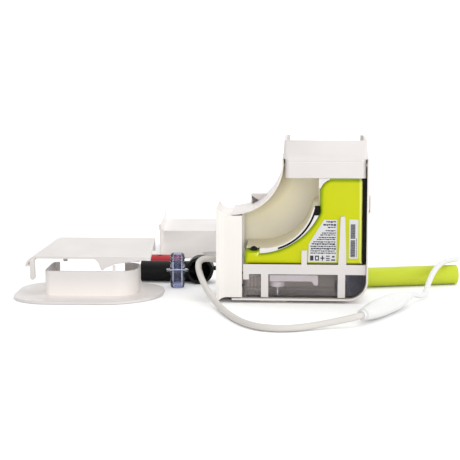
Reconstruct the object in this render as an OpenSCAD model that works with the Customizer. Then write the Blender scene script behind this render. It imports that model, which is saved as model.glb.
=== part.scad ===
// Mini condensate pump in a trunking elbow, with the parts of its fitting kit.
// X runs right, Y runs from the wall plane into the room, Z is up.
// Y = 0 is the open wall-side plane of the elbow. Z = 0 is the table.

/* [Elbow cover] */
// wall thickness of the white trunking mouldings
wall = 1.8; // [1.2:0.1:3]
// right-hand outer face of the elbow
elbow_right = 42.8; // [38:0.1:48]
// outer width of the vertical mouth
mouth_w = 86.8; // [80:0.1:95]
// underside of the elbow
elbow_base = 2.6; // [2:0.1:6]
// height of the vertical mouth above the table
elbow_top = 145; // [130:0.5:160]
// position of the horizontal mouth
mouth_x = -93.7; // [-100:0.1:-88]
// depth of the elbow from wall plane to room face
elbow_depth = 67; // [60:0.5:75]
// radius of the concave inner wall
bend_r = 50.2; // [45:0.1:55]
// radius of the lower outer corner
heel_r = 20; // [15:0.5:25]

/* [Collars] */
// clearance between a collar and the mouth it plugs into
collar_gap = 1.2; // [0.8:0.1:2]
// length of the vertical collar below the mouth
collar_plug = 18.5; // [12:0.5:25]
// length of the vertical collar above the mouth
collar_out = 19.2; // [12:0.1:25]
// radius of the flared lip
flare_r = 10.5; // [10.2:0.1:14]
// length of the flared lip
flare_len = 10; // [6:0.5:10]

/* [Pump housing] */
// wall thickness of the lime shells
shell = 2; // [1.6:0.1:3]
// underside of the housing
base_z = 39.1; // [36:0.1:42]
// top of the tall part
col_top = 125.2; // [115:0.1:126]
// left face of the tall part
col_x0 = -5.5; // [-6:0.1:-5]
// right face of the tall part
col_x1 = 36.8; // [34:0.1:37]
// left end of the toe
toe_x0 = -81.2; // [-82:0.1:-75]
// top of the toe
toe_z = 52.6; // [50:0.1:56]
// wall-side face of the housing
front_y = 4; // [3:0.1:6]
// room-side face of the housing
back_y = 56; // [50:0.5:60]
// plane where the two shells meet
split_y = 30; // [25:0.5:35]
// radius of the curved web that shields the pump from the pipes
web_r = 54.4; // [53:0.1:55]

/* [Pump] */
// position of the pump axis
pump_x = 16; // [12:0.5:20]
// outer radius of the coil winding
coil_r = 12.6; // [10:0.1:13]
// bore radius of the piston tube
tube_bore = 5; // [4:0.1:6]
// running clearance on the piston radius
run_gap = 0.06; // [0.02:0.01:0.1]
// outer radius of the discharge spigot
spigot_r = 3; // [2.5:0.1:4]

/* [Reservoir] */
// left end of the tub
tub_x0 = -82.6; // [-83:0.1:-78]
// right face of the tub
tub_x1 = 40.4; // [38:0.1:40.4]
// underside of the tub
tub_z0 = 5; // [4.8:0.1:6]
// rim of the tub
tub_z1 = 28; // [26:0.1:30]
// outer radius of the inlet spigot
inlet_r = 8; // [7:0.1:9]

/* [Cable] */
// radius of the cable sheath
cable_r = 3.2; // [2.5:0.1:4]
// length of the in-line connector from ring to narrow end
conn_len = 109; // [100:1:115]
// greatest radius of the connector
conn_r = 9.3; // [8:0.1:9.4]

/* [Fitting kit] */
// length of the ceiling plate
plate_w = 151; // [140:1:160]
// width of the ceiling plate
plate_d = 110; // [95:1:120]
// thickness of the ceiling plate
plate_t = 2.5; // [2:0.1:4]
// distance between the two screw holes of the plate
screw_pitch = 82; // [76:1:86]
// radius of the plate screw holes
screw_hole_r = 2.2; // [1.8:0.1:3]
// outer radius of the lime drain hose
hose_r = 10.35; // [8:0.05:12]
// outer radius of the rubber inlet elbow's tail
rubber_r = 10.9; // [9:0.1:12]

/* [Hidden] */
$fn = 64;
eps = 0.02;
elbow_left = elbow_right - mouth_w;
bend_x = elbow_left - bend_r;
bend_z = elbow_top - 3.8;
heel_x = elbow_right - heel_r;
heel_z = elbow_base + heel_r;
web_x = -63.9;
web_z = 108;
web_t = 1.6;
web_x0 = -66;
shoulder_r = 13;
shoulder_x = col_x0 + shoulder_r;
hollow_x = -69.8;
hollow_z = 120.3;
hollow_r = 70.4;
hollow_top = 97.5;
foam_x0 = -47.5;
foam_t = 1.8;
foam_top = 96.9;
foam_head = 8;
pump_y = split_y;
cradle_z0 = 28.9;
cradle_z1 = 39;
float_x = -48;
float_y = 20;
float_bore = 1.58;
pin_r = 1.5;
collar_x0 = elbow_left + wall + collar_gap;
collar_x1 = elbow_right - wall - collar_gap;
collar_y0 = 1;
collar_y1 = elbow_depth - wall - 1.4;
collar_z0 = elbow_top - collar_plug;
collar_z1 = elbow_top + collar_out;
side_neck = mouth_x - 5.7;
side_x1 = mouth_x + 10.2;
side_z0 = elbow_base + wall + 1;
side_z1 = bend_z - bend_r - wall - 0.8;
screw_at = [[31.5, 118.5], [3, 115.5], [31.5, 45.5], [-66, 45.5]];
conn_at = [34.8, -97.4, 9.4];
conn_turn = 62.8;
conn_split = 52;
plate_x0 = -318;
plate_y0 = -18;
box_x0 = -286;
box_x1 = -191.5;
box_y0 = 15;
box_y1 = 71;
box_top = 28;
coupler_x0 = -190;
coupler_x1 = -100;
unit = [cos(conn_turn), sin(conn_turn), 0];
cable_route = [
    [-77, 30, 45.5], [-85, 30, 45.2], [-97, 31, 42.5], [-109.4, 31.5, 38.6],
    [-121.5, 28, 40], [-127.5, 23, 38], [-128.5, 17, 33.2], [-126.3, 10, 27.2],
    [-122.7, 1, 21.2], [-118, -9, 15], [-111.7, -20, 8.7], [-105.1, -35.4, 4.6],
    [-93.3, -72, 3.4], [-79, -106, 3.3], [-64.2, -126, 3.3], [-47.2, -133.8, 3.3],
    [-30.4, -132, 3.3], [-12.2, -123.6, 3.9], [6.3, -114.5, 5.6], [20, -109.5, 7.6],
    [28.5, -105.8, 9], conn_at - 4 * unit, conn_at + 6 * unit
];
tail_route = [
    conn_at + (conn_len - 8) * unit, conn_at + (conn_len + 2) * unit, [90.2, 14, 7.6], [96.5, 22, 5.2],
    [102, 31, 5.8], [105.6, 47, 9.4], [109.5, 64, 13.8], [114.5, 82, 18.4], [120.5, 96, 22.8],
    [127, 107, 25.2], [135, 118, 25.6], [143, 127, 24.9]
];

// ---------- helpers ----------

// XZ outline extruded from y0 to y1
module slab(y0, y1) {
    translate([0, y1, 0])
        rotate([90, 0, 0])
            linear_extrude(height = y1 - y0)
                children();
}

// YZ outline extruded from x0 to x1
module slab_x(x0, x1) {
    translate([x0, 0, 0])
        rotate([90, 0, 90])
            linear_extrude(height = x1 - x0)
                children();
}

module box(x0, x1, y0, y1, z0, z1) {
    translate([x0, y0, z0])
        cube([x1 - x0, y1 - y0, z1 - z0]);
}

module post(x, y, z0, z1, r) {
    translate([x, y, z0])
        cylinder(h = z1 - z0, r = r);
}

module rod_y(x, z, y0, y1, r) {
    translate([x, y1, z])
        rotate([90, 0, 0])
            cylinder(h = y1 - y0, r = r);
}

module rod_x(y, z, x0, x1, r) {
    translate([x0, y, z])
        rotate([0, 90, 0])
            cylinder(h = x1 - x0, r = r);
}

module rrect(x0, y0, x1, y1, r) {
    translate([x0 + r, y0])
        square([x1 - x0 - 2 * r, y1 - y0]);
    translate([x0, y0 + r])
        square([x1 - x0, y1 - y0 - 2 * r]);
    for (cx = [x0 + r, x1 - r])
        for (cy = [y0 + r, y1 - r])
            translate([cx, cy])
                circle(r = r);
}

function spline(a, b, c, d, t) =
    0.5 * (2 * b + (c - a) * t + (2 * a - 5 * b + 4 * c - d) * t * t
        + (3 * b - a - 3 * c + d) * t * t * t);
function route(p, n) = concat(
    [for (i = [0:len(p) - 2]) for (k = [0:n - 1])
        spline(p[max(i - 1, 0)], p[i], p[i + 1], p[min(i + 2, len(p) - 1)], k / n)],
    [p[len(p) - 1]]);
function unit_of(v) = v / norm(v);
function tangent(p, i) = unit_of(p[min(i + 1, len(p) - 1)] - p[max(i - 1, 0)]);
function ring_at(p, i, r, m) =
    let (t = tangent(p, i), s = unit_of(cross(t, [0, 0, 1])), u = cross(s, t))
    [for (k = [0:m - 1]) p[i] + r * cos(360 * k / m) * s + r * sin(360 * k / m) * u];

// round cord of radius r with m sides along the points p
module cord(p, r, m) {
    pts = [for (i = [0:len(p) - 1]) each ring_at(p, i, r, m)];
    last = (len(p) - 1) * m;
    sides = [for (i = [0:len(p) - 2]) for (k = [0:m - 1])
        [i * m + k, i * m + (k + 1) % m, (i + 1) * m + (k + 1) % m, (i + 1) * m + k]];
    start = [for (k = [0:m - 1]) m - 1 - k];
    end = [for (k = [0:m - 1]) last + k];
    polyhedron(points = pts, faces = concat([start, end], sides), convexity = 6);
}

function coil_path(r, z0, z1, turns, n) =
    [for (i = [0:turns * n]) [r * cos(360 * i / n), r * sin(360 * i / n),
        z0 + (z1 - z0) * i / (turns * n)]];

// ---------- elbow and collars ----------

// elbow outline moved in by g, mouths stretched by e
module elbow_outline(g, e) {
    difference() {
        translate([mouth_x - e, elbow_base + g])
            square([elbow_right - g - mouth_x + e, elbow_top + e - elbow_base - g]);
        translate([bend_x, bend_z])
            circle(r = bend_r + g, $fn = 128);
        translate([mouth_x - 60, bend_z])
            square([elbow_left + g - mouth_x + 60, 60]);
        translate([mouth_x - 60, bend_z - bend_r - g])
            square([bend_x - mouth_x + 60, 90]);
        difference() {
            translate([heel_x, elbow_base - 1])
                square([heel_r + 10, heel_r + 1]);
            translate([heel_x, heel_z])
                circle(r = heel_r - g, $fn = 96);
        }
    }
}

module strap_loop() {
    difference() {
        box(elbow_right - eps, 45.6, 20, 34, 88.6, 107);
        box(elbow_right - 1, 44.4, 19, 35, 90.2, 105.4);
    }
}

module bend_clip() {
    clip_x0 = -76;
    clip_x1 = -58;
    clip_top = 104.8;
    difference() {
        box(clip_x0, clip_x1, 44, 58, 86, clip_top);
        slab(43, 59)
            elbow_outline(1, 30);
        slab(43, 54)
            polygon([[clip_x0 + 0.8, 103], [-68, 98.6], [clip_x0 + 1.6, 92.6]]);
    }
}

module slider_guides() {
    guide_y0 = 6;
    guide_y1 = 42;
    for (s = [[-65, -63.1, -61.4], [-39, -40.9, -42.6]]) {
        box(min(s[0], s[1]), max(s[0], s[1]), guide_y0, guide_y1, 0.5, elbow_base + eps);
        box(min(s[0], s[2]), max(s[0], s[2]), guide_y0, guide_y1, 0.5, 1.2);
    }
}

module elbow_cover() {
    slot_y0 = 19.9;
    slot_y1 = 29.1;
    color([0.93, 0.91, 0.9])
    difference() {
        union() {
            slab(0, elbow_depth)
                elbow_outline(0, 0);
            strap_loop();
            bend_clip();
            slider_guides();
        }
        slab(-1, elbow_depth - wall)
            elbow_outline(wall, 1);
        for (x = [elbow_left - 1, elbow_right - wall - 1])
            box(x, x + wall + 2, 8, 20, 136.6, 140.4);
        box(-54.1, -49.9, slot_y0, slot_y1, 0, elbow_base + wall + 1);
    }
}

module collar_catches() {
    for (s = [[collar_x0 - 0.9, collar_x0 + 1], [collar_x1 - 1, collar_x1 + 0.9]])
        slab(9.5, 18.5)
            polygon([[s[0], 138], [s[0], 139.4], [s[1], 140], [s[1], 137]]);
}

module vertical_collar() {
    lip = 1.8;
    mid_x = (collar_x0 + collar_x1) / 2;
    foot_w = (collar_x1 - collar_x0) / 2 + lip;
    head_w = foot_w - 1.1;
    color([0.93, 0.91, 0.9])
    difference() {
        union() {
            translate([0, 0, collar_z0])
                linear_extrude(height = collar_plug + 1)
                    rrect(collar_x0, collar_y0, collar_x1, collar_y1, 5);
            intersection() {
                slab(0, collar_y1 + 2)
                    polygon([[mid_x - foot_w, elbow_top + 0.2], [mid_x + foot_w, elbow_top + 0.2],
                        [mid_x + head_w, collar_z1], [mid_x - head_w, collar_z1]]);
                slab_x(collar_x0 - 3, collar_x1 + 3)
                    polygon([[0.2, elbow_top + 0.2], [collar_y1 + 1.2, elbow_top + 0.2],
                        [collar_y1 + 0.4, collar_z1], [0.8, collar_z1]]);
                translate([0, 0, elbow_top])
                    linear_extrude(height = 30)
                        rrect(mid_x - foot_w, 0.2, mid_x + foot_w, collar_y1 + 1.2, 6);
            }
            box(collar_x0 + 4, collar_x1 - 4, 0.2, 2, elbow_top - 1.8, elbow_top + 1);
            collar_catches();
        }
        translate([0, 0, collar_z0 - 1])
            linear_extrude(height = collar_plug + collar_out + 2)
                rrect(collar_x0 + wall, collar_y0 + wall, collar_x1 - wall, collar_y1 - wall, 3.4);
        slab(collar_y1 - 6, collar_y1 + 3)
            rrect(collar_x0 + 4.6, collar_z1 - 11, collar_x1 - 4.6, collar_z1 + 8, 4);
    }
}

// side view of a flared sleeve: neck from a to b, trumpet of length l to the left, moved in by g
module trumpet(neck, end, l, r, a, b, g) {
    translate([neck - eps, a + g])
        square([end - neck + 2 * eps, b - a - 2 * g]);
    difference() {
        translate([neck - l - g, a - r + g])
            square([l + g, b - a + 2 * r - 2 * g]);
        for (c = [b + r, a - r])
            translate([neck, c])
                circle(r = r + g, $fn = 96);
    }
}

module side_trumpet(a, b, g) {
    trumpet(side_neck, side_x1, flare_len, flare_r, a, b, g);
}

module horizontal_collar() {
    rim_y0 = -1.6;
    color([0.97, 0.96, 0.93])
    difference() {
        intersection() {
            slab(rim_y0, collar_y1 + 9)
                side_trumpet(side_z0, side_z1, 0);
            linear_extrude(height = side_z1 + 9)
                side_trumpet(collar_y0, collar_y1, 0);
        }
        intersection() {
            slab(0.2, collar_y1 + 9)
                side_trumpet(side_z0, side_z1, wall);
            translate([0, 0, wall])
                linear_extrude(height = side_z1 + 9)
                    side_trumpet(collar_y0, collar_y1, wall);
        }
        box(side_x1 - 0.5, side_x1 + 1, collar_y0 + wall, collar_y1 - wall, side_z0 + wall, side_z1 - wall);
    }
}

// ---------- pump housing ----------

module column_2d(g) {
    r = 4;
    translate([col_x0 + g, base_z + g])
        square([col_x1 - col_x0 - 2 * g, col_top - shoulder_r - base_z - g]);
    translate([shoulder_x, base_z + g])
        square([col_x1 - r - shoulder_x, col_top - base_z - 2 * g]);
    translate([shoulder_x, base_z + g])
        square([col_x1 - g - shoulder_x, col_top - r - base_z - g]);
    translate([shoulder_x, col_top - shoulder_r])
        circle(r = shoulder_r - g);
    translate([col_x1 - r, col_top - r])
        circle(r = r - g);
}

module toe_2d(g) {
    r = 4;
    translate([toe_x0 + g, base_z + g])
        square([-45 - toe_x0 - g, toe_z - r - base_z - g]);
    translate([toe_x0 + r, base_z + g])
        square([-45 - toe_x0 - r, toe_z - base_z - 2 * g]);
    translate([toe_x0 + r, toe_z - r])
        circle(r = r - g);
}

// round hollow in the housing that the web lies in, grown by g
module hollow_2d(g) {
    intersection() {
        translate([hollow_x, hollow_z])
            circle(r = hollow_r + g, $fn = 128);
        translate([web_x0 - g, 40])
            square([90, 90]);
    }
}

// housing outline moved in by g
module housing_2d(g) {
    column_2d(g);
    difference() {
        union() {
            toe_2d(g);
            translate([-60, base_z + g])
                square([col_x0 + g + 61, hollow_top - base_z - g]);
        }
        hollow_2d(g);
    }
}

module housing_openings() {
    post(pump_x, pump_y, col_top - 4, col_top + 2, spigot_r + 0.5);
    post(pump_x, pump_y, base_z - 2, base_z + 4, 2.9);
    rod_x(split_y, 45.5, toe_x0 - 1, toe_x0 + 3, 4.6);
}

module housing_wall_side() {
    color([0.79, 0.83, 0.12])
    difference() {
        union() {
            difference() {
                slab(front_y, split_y)
                    housing_2d(0);
                slab(front_y + shell, split_y + 1)
                    housing_2d(shell);
            }
            for (p = screw_at)
                rod_y(p[0], p[1], front_y + 1, split_y, 3.4);
        }
        for (p = screw_at)
            rod_y(p[0], p[1], 10, split_y + 1, 1.55);
        post(-71.8, 9, toe_z - 4, toe_z + 1, 1.7);
        housing_openings();
    }
}

module housing_room_side() {
    color([0.75, 0.8, 0.1])
    difference() {
        union() {
            difference() {
                slab(split_y + 0.05, back_y)
                    housing_2d(0);
                slab(split_y - 1, back_y - shell)
                    housing_2d(shell);
            }
            for (p = screw_at)
                rod_y(p[0], p[1], split_y + 0.05, back_y - 1, 4.2);
        }
        for (p = screw_at) {
            rod_y(p[0], p[1], split_y - 1, back_y + 1, 1.7);
            rod_y(p[0], p[1], back_y - 3.6, back_y + 1, 3.2);
        }
        housing_openings();
    }
}

module housing_screws() {
    color([0.7, 0.7, 0.72])
    for (p = screw_at)
        difference() {
            union() {
                rod_y(p[0], p[1], 14, back_y - 3.5, 1.5);
                rod_y(p[0], p[1], back_y - 3.55, back_y - 1.3, 2.9);
            }
            box(p[0] - 1.8, p[0] + 1.8, back_y - 2.2, back_y, p[1] - 0.4, p[1] + 0.4);
            box(p[0] - 0.4, p[0] + 0.4, back_y - 2.2, back_y, p[1] - 1.8, p[1] + 1.8);
        }
}

// space of the pipe duct, moved in by g
module duct_2d(g) {
    translate([web_x, web_z])
        circle(r = web_r - g, $fn = 160);
    translate([-79.4, web_z - web_r + g])
        square([web_x + 79.4, 70]);
    translate([-79.4, foam_top + g])
        square([79.4 + col_x0 - g, 126.2 - foam_top - g]);
}

module web_2d() {
    difference() {
        intersection() {
            duct_2d(0.1);
            translate([-79.4, 0])
                square([90, 126.2]);
        }
        duct_2d(web_t);
    }
}

// outline of the foam strip between web and housing, grown by g
module foam_2d(g) {
    difference() {
        intersection() {
            hollow_2d(g - 0.1);
            translate([foam_x0 - g, 40])
                square([col_x0 - 0.1 - foam_x0 + 2 * g, foam_top + g - 40]);
            union() {
                translate([web_x, web_z])
                    circle(r = web_r + foam_t + g, $fn = 160);
                translate([-30, foam_top - foam_head - g])
                    square([30, foam_head + 2 * g]);
            }
        }
        translate([web_x, web_z])
            circle(r = web_r - g, $fn = 160);
    }
}

// white channel between duct and housing that holds the foam strip
module web_channel_2d() {
    difference() {
        intersection() {
            hollow_2d(-0.1);
            translate([web_x0, 40])
                square([col_x0 - 0.1 - web_x0, foam_top - 40]);
        }
        duct_2d(web_t);
        foam_2d(0.1);
    }
}

module pipe_partition() {
    lip_y0 = 2.6;
    far_y = elbow_depth - wall - 0.2;
    corner_z = col_top - shoulder_r;
    color([0.95, 0.94, 0.92])
    union() {
        slab(14, far_y)
            web_2d();
        slab(lip_y0, back_y)
            web_channel_2d();
        slab(lip_y0, far_y)
            difference() {
                translate([col_x0 - 1.6, corner_z + 4])
                    square([11, 126.2 - corner_z - 4]);
                translate([shoulder_x, corner_z])
                    circle(r = shoulder_r + 0.1);
            }
    }
}

module duct_foam() {
    color([0.07, 0.07, 0.07])
    slab(front_y + 0.2, back_y)
        foam_2d(0);
}

module side_foam() {
    color([0.07, 0.07, 0.07])
    box(col_x1 + 0.1, elbow_right - wall - 0.1, front_y + 0.5, back_y, 42, 124);
}

module vent_grommet() {
    vent_x = -71.8;
    vent_y = 9;
    color([0.06, 0.06, 0.06])
    difference() {
        union() {
            translate([vent_x, vent_y, toe_z + 0.05])
                rotate_extrude()
                    intersection() {
                        circle(r = 3.9);
                        square([5, 4.4]);
                    }
            post(vent_x, vent_y, toe_z - 3, toe_z + 1, 1.6);
        }
        post(vent_x, vent_y, toe_z - 4, toe_z + 6, 0.8);
    }
}

module rating_label() {
    color([0.82, 0.8, 0.86])
    slab(front_y - 0.35, front_y - 0.02)
        polygon([[-1.6, 84.4], [11.6, 84.4], [10.9, 41.6], [-17.3, 41.6], [-16.6, 60]]);
}

module barcode_label() {
    color([0.85, 0.84, 0.88])
    slab(front_y - 0.35, front_y - 0.02)
        translate([23.6, 45.4])
            square([9, 39.6]);
}

// ---------- cradle and reservoir ----------

module cradle() {
    face_y = 2.4;
    hook_y = 4.4;
    color([0.95, 0.94, 0.93])
    difference() {
        union() {
            box(-79.4, 40.6, face_y, back_y, cradle_z0, cradle_z1);
            box(-82.4, -79, hook_y, back_y, cradle_z0, cradle_z0 + wall);
            box(-82.4, -76.4, face_y, hook_y, 23.4, cradle_z1);
            slab(face_y, front_y - 0.05)
                polygon([[12.9, 37], [21.2, 37], [19.6, 88], [15, 88]]);
            box(-23.9, -18.4, face_y, front_y - 0.05, 37, 53.4);
            box(-64.4, -57, face_y, hook_y, 5.4, 30);
            box(12.6, 20.1, face_y, hook_y, 5.4, 30);
        }
        box(-77.4, 38.6, face_y + 2, back_y - 2, cradle_z0 + wall, cradle_z1 + 1);
        post(pump_x, pump_y, cradle_z0 - 1, cradle_z1, 2.9);
        post(float_x, float_y, cradle_z0 - 1, cradle_z1, pin_r + 0.05);
    }
}

module tub_2d(g) {
    r = heel_r - 2.4;
    difference() {
        translate([tub_x0 + g, tub_z0 + g])
            square([tub_x1 - tub_x0 - 2 * g, tub_z1 - tub_z0]);
        difference() {
            translate([tub_x1 - r, tub_z0 - 1])
                square([r + 5, r + 1]);
            translate([tub_x1 - r, tub_z0 + r])
                circle(r = r - g);
        }
    }
}

module reservoir_tub() {
    spigot_y = 42;
    spigot_z = 16.5;
    front = 4.6;
    color([0.35, 0.32, 0.34, 0.55])
    difference() {
        union() {
            difference() {
                intersection() {
                    slab(front, back_y)
                        tub_2d(0);
                    box(-100, 60, 0, 60, 0, tub_z1);
                }
                slab(front + 2, back_y - 2)
                    tub_2d(2);
            }
            for (k = [0:3])
                box(-79.5 + 3.6 * k, -78.6 + 3.6 * k, front + 1.9, front + 3, tub_z0 + 2.6, tub_z1 - 2);
            slab(front + 1.9, front + 6)
                intersection() {
                    difference() {
                        translate([33.5, 10.5])
                            circle(r = 9.3);
                        translate([33.5, 10.5])
                            circle(r = 8.6);
                    }
                    translate([22, 8])
                        square([11.5, 14]);
                }
            rod_x(spigot_y, spigot_z, tub_x0 - 13, tub_x0 + 1, inlet_r);
        }
        rod_x(spigot_y, spigot_z, tub_x0 - 14, tub_x0 + 3, inlet_r - 1.6);
    }
}

module reservoir_seal() {
    color([0.08, 0.08, 0.08])
    difference() {
        box(tub_x0 + 0.3, tub_x1 - 0.3, 4.9, back_y - 0.3, tub_z1 + 0.02, cradle_z0 - 0.02);
        box(tub_x0 + 1.7, tub_x1 - 1.7, 6.3, back_y - 1.7, tub_z1 - 1, cradle_z0 + 1);
    }
}

module float_carrier() {
    c_x0 = -56;
    c_x1 = -7;
    c_y0 = 7.6;
    c_y1 = 50;
    top = cradle_z0 - 0.05;
    color([0.9, 0.9, 0.9])
    difference() {
        union() {
            box(c_x0, c_x1, c_y0, c_y1, 21, top);
            slab(c_y0, c_y0 + 6)
                polygon([[c_x1, 22], [c_x1, 17], [c_x1 - 4, 17], [c_x1 - 7, 22]]);
        }
        box(c_x0 + 2, c_x1 - 2, c_y0 + 2, c_y1 - 2, 15, top - 2);
        post(float_x, float_y, top - 3, top + 1, pin_r + 0.05);
    }
}

module float_pin() {
    color([0.75, 0.75, 0.77])
    union() {
        post(float_x, float_y, tub_z0 + 2.1, cradle_z1 - 4, pin_r);
        post(float_x, float_y, cradle_z0 + wall + 0.05, cradle_z0 + wall + 1.5, 2.8);
    }
}

module float() {
    float_z0 = 13.6;
    color([0.94, 0.94, 0.93])
    difference() {
        union() {
            post(float_x, float_y, float_z0 + 2, float_z0 + 5, 8);
            post(float_x, float_y, float_z0, float_z0 + 7, 6);
            translate([float_x, float_y, 0])
                rotate_extrude()
                    for (z = [float_z0 + 2, float_z0 + 5])
                        translate([6, z])
                            circle(r = 2);
        }
        post(float_x, float_y, float_z0 - 1, float_z0 + 8, float_bore);
        difference() {
            post(float_x, float_y, float_z0 + 5, float_z0 + 8, 5);
            post(float_x, float_y, float_z0 + 4, float_z0 + 9, 2.9);
        }
    }
}

module float_magnet() {
    color([0.3, 0.3, 0.32])
    difference() {
        post(float_x, float_y, 18.62, 20.5, 4.95);
        post(float_x, float_y, 18, 21, 2.95);
    }
}

module suction_tube() {
    color([0.85, 0.88, 0.9])
    difference() {
        post(pump_x, pump_y, 9, 47, 2.5);
        post(pump_x, pump_y, 8, 48, 1.5);
    }
}

module suction_filter() {
    color([0.2, 0.2, 0.22])
    difference() {
        union() {
            post(pump_x, pump_y, 7.2, 18, 6);
            post(pump_x, pump_y, 17, 20, 3.8);
        }
        post(pump_x, pump_y, 8.6, 21, 2.55);
        post(pump_x, pump_y, 8.6, 16.5, 5);
        for (k = [0:11])
            translate([pump_x, pump_y, 9.4])
                rotate([0, 0, 30 * k])
                    box(4, 7, -0.5, 0.5, 0, 6.2);
    }
}

module release_slider() {
    color([0.9, 0.9, 0.9])
    union() {
        box(-61.2, -42.8, 8, 34, 0, 1.35);
        box(-62.9, -41.1, 8, 34, 1.3, elbow_base - 0.1);
        box(-53.8, -50.2, 20, 24, 2, elbow_base + wall + 0.3);
        for (k = [0:3])
            box(-59, -45, 9.6 + 2 * k, 10.5 + 2 * k, -0.02, 0.3);
    }
}

// ---------- pump ----------

module solenoid_yoke() {
    z0 = 55.8;
    z1 = 90.4;
    t = 2;
    color([0.62, 0.63, 0.65])
    difference() {
        union() {
            box(2, 30, 18, 46, z0, z0 + t);
            box(2, 30, 18, 46, z1 - t, z1);
            box(2, 30, 44, 46, z0, z1);
        }
        post(pump_x, pump_y, z0 - 1, z1 + 1, tube_bore + 1.05);
    }
}

module coil_bobbin() {
    color([0.12, 0.12, 0.13])
    difference() {
        union() {
            post(pump_x, pump_y, 57.9, 59.4, 13.2);
            post(pump_x, pump_y, 86.8, 88.3, 13.2);
            post(pump_x, pump_y, 58, 88, 7.6);
        }
        post(pump_x, pump_y, 50, 100, tube_bore + 1.05);
    }
}

module coil_winding() {
    color([0.72, 0.4, 0.2])
    difference() {
        post(pump_x, pump_y, 59.45, 86.75, coil_r);
        post(pump_x, pump_y, 50, 100, 7.65);
    }
}

module piston_tube() {
    color([0.75, 0.76, 0.78])
    difference() {
        post(pump_x, pump_y, 50, 101, tube_bore + 1);
        post(pump_x, pump_y, 49, 102, tube_bore);
    }
}

module piston() {
    color([0.55, 0.56, 0.58])
    difference() {
        post(pump_x, pump_y, 64, 86, tube_bore - run_gap);
        post(pump_x, pump_y, 63, 87, 1.6);
        post(pump_x, pump_y, 83, 87, 3.4);
        post(pump_x, pump_y, 63, 66, 3.2);
    }
}

module valve_spring(z0, z1) {
    translate([pump_x, pump_y, 0])
        cord(coil_path(3.9, z0, z1, 6, 14), 0.4, 6);
}

module spring_lower() {
    color([0.8, 0.8, 0.82])
    valve_spring(53, 63.5);
}

module spring_upper() {
    color([0.8, 0.8, 0.82])
    valve_spring(86.5, 98);
}

module inlet_cap() {
    color([0.2, 0.2, 0.22])
    difference() {
        union() {
            post(pump_x, pump_y, 44.4, 52.4, 8);
            post(pump_x, pump_y, 50, 55.6, 7.4);
        }
        post(pump_x, pump_y, 44, 47.1, 2.55);
        post(pump_x, pump_y, 46, 50, 1.4);
        post(pump_x, pump_y, 48.6, 56, 3);
        post(pump_x, pump_y, 49.9, 56, tube_bore + 1.05);
    }
}

module inlet_valve() {
    color([0.85, 0.3, 0.1])
    post(pump_x, pump_y, 48.65, 50.4, 2.2);
}

module outlet_cap() {
    top_z = 140;
    color([0.2, 0.2, 0.22])
    difference() {
        union() {
            post(pump_x, pump_y, 90.8, 108, 8);
            post(pump_x, pump_y, 107, top_z, spigot_r);
            for (z = [128.5, 132.5])
                post(pump_x, pump_y, z, z + 0.6, spigot_r + 0.25);
        }
        post(pump_x, pump_y, 90, 101.05, tube_bore + 1.05);
        post(pump_x, pump_y, 100, 104.4, 3);
        post(pump_x, pump_y, 103, top_z + 1, 1.8);
    }
}

module outlet_valve() {
    color([0.85, 0.3, 0.1])
    post(pump_x, pump_y, 101.6, 103.3, 2.4);
}

module damper_posts() {
    color([0.1, 0.1, 0.1])
    for (x = [5, 25])
        for (y = [pump_y - 8.5, pump_y + 8.5])
            post(x, y, base_z + shell + 0.05, 55.75, 2);
}

module circuit_board() {
    color([0.1, 0.35, 0.2])
    box(-60, -12, 12, 48, 42.6, 44.2);
}

module board_parts() {
    color([0.15, 0.15, 0.17])
    union() {
        box(-40, -24, 20, 32, 44.21, 52);
        box(-22, -15, 34, 42, 44.21, 47);
        box(-56, -50, 36, 44, 44.21, 46.4);
        rod_y(-46, 47.1, 16, 30, 2.9);
    }
}

module hall_sensors() {
    color([0.05, 0.05, 0.06])
    for (k = [0:2])
        box(-50, -46, 14 + 4 * k, 16.4 + 4 * k, 41.4, 42.58);
}

// ---------- cable ----------

module cable_gland() {
    color([0.8, 0.79, 0.77])
    difference() {
        union() {
            rod_x(split_y, 45.5, toe_x0 - 1.8, toe_x0 - 0.05, 5.6);
            rod_x(split_y, 45.5, toe_x0 - 1, toe_x0 + shell + 0.6, 4.5);
        }
        rod_x(split_y, 45.5, toe_x0 - 4, toe_x0 + shell + 2, cable_r + 0.05);
    }
}

module power_cable() {
    color([0.93, 0.92, 0.9])
    cord(route(cable_route, 4), cable_r, 14);
}

module tail_cable() {
    color([0.93, 0.92, 0.9])
    cord(route(tail_route, 4), cable_r - 0.3, 14);
}

// connector frame: local X along the connector axis
module on_axis() {
    translate(conn_at)
        rotate([0, 0, conn_turn])
            rotate([0, 90, 0])
                children();
}

module connector_plug() {
    color([0.94, 0.94, 0.92])
    difference() {
        on_axis()
            rotate_extrude($fn = 48)
                polygon([[0, -4], [4.2, -4], [4.6, -0.2], [6, 0], [6, 4.6], [5.4, 5.2], [6.6, 8],
                    [7.8, 16], [8.7, 26], [9.2, 38], [conn_r, 46], [conn_r, conn_split], [0, conn_split]]);
        on_axis()
            translate([0, 0, -5])
                cylinder(h = 16, r = cable_r + 0.05);
        on_axis()
            for (k = [0:2])
                rotate([0, 0, 120 * k])
                    translate([4, 0, conn_split - 8])
                        cylinder(h = 9, r = 1.2);
    }
}

module contact_pins() {
    color([0.8, 0.65, 0.3])
    on_axis()
        for (k = [0:2])
            rotate([0, 0, 120 * k])
                translate([4, 0, conn_split - 7.9])
                    cylinder(h = 17, r = 1.18);
}

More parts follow.
